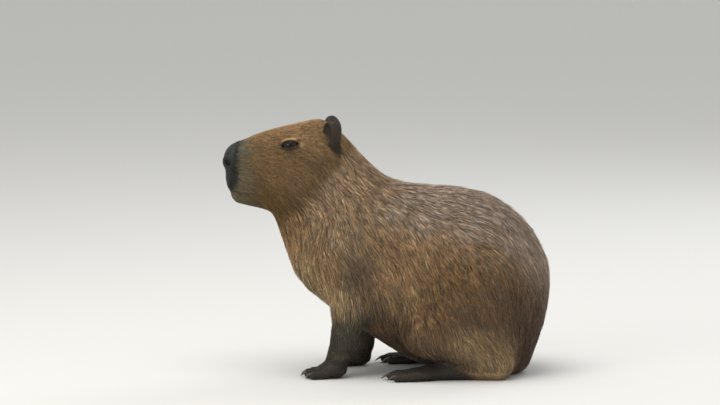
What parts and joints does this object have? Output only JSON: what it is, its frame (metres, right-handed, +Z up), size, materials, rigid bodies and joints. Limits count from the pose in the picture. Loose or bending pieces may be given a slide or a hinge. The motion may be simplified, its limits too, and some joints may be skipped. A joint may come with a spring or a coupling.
{
  "type": "sitting capybara",
  "caption": "Life-size capybara sitting upright on its haunches with straight forelegs, level blunt head and small round ears.",
  "frame": {"origin": "centre of the bounding box at floor level, where the feet and seat rest", "axes": "-X is the way the animal faces, -Y is its left side, +Z is up"},
  "size_m": [0.7091, 0.3499, 0.5543],
  "materials": {
    "coat": "long coarse brown fur, greyer along the back",
    "face": "short dense fur",
    "foot": "dark skin with very short hair",
    "ear": "dark leathery skin with fine hair",
    "eye": "moist dark brown",
    "claw": "dull horn"
  },
  "bodies": {
    "root": {"ear_left": "ear", "ear_right": "ear", "eye_left": "eye", "eye_right": "eye", "foreclaw_left_1": "claw", "foreclaw_left_2": "claw", "foreclaw_left_3": "claw", "foreclaw_left_4": "claw", "foreclaw_right_1": "claw", "foreclaw_right_2": "claw", "foreclaw_right_3": "claw", "foreclaw_right_4": "claw", "forefoot_left": "foot", "forefoot_right": "foot", "foreleg_left": "coat", "foreleg_right": "coat", "head": "face", "hindclaw_left_1": "claw", "hindclaw_left_2": "claw", "hindclaw_left_3": "claw", "hindclaw_right_1": "claw", "hindclaw_right_2": "claw", "hindclaw_right_3": "claw", "hindfoot_left": "foot", "hindfoot_right": "foot", "hindleg_left": "coat", "hindleg_right": "coat", "neck": "coat", "trunk": "coat"}
  },
  "joints": []
}
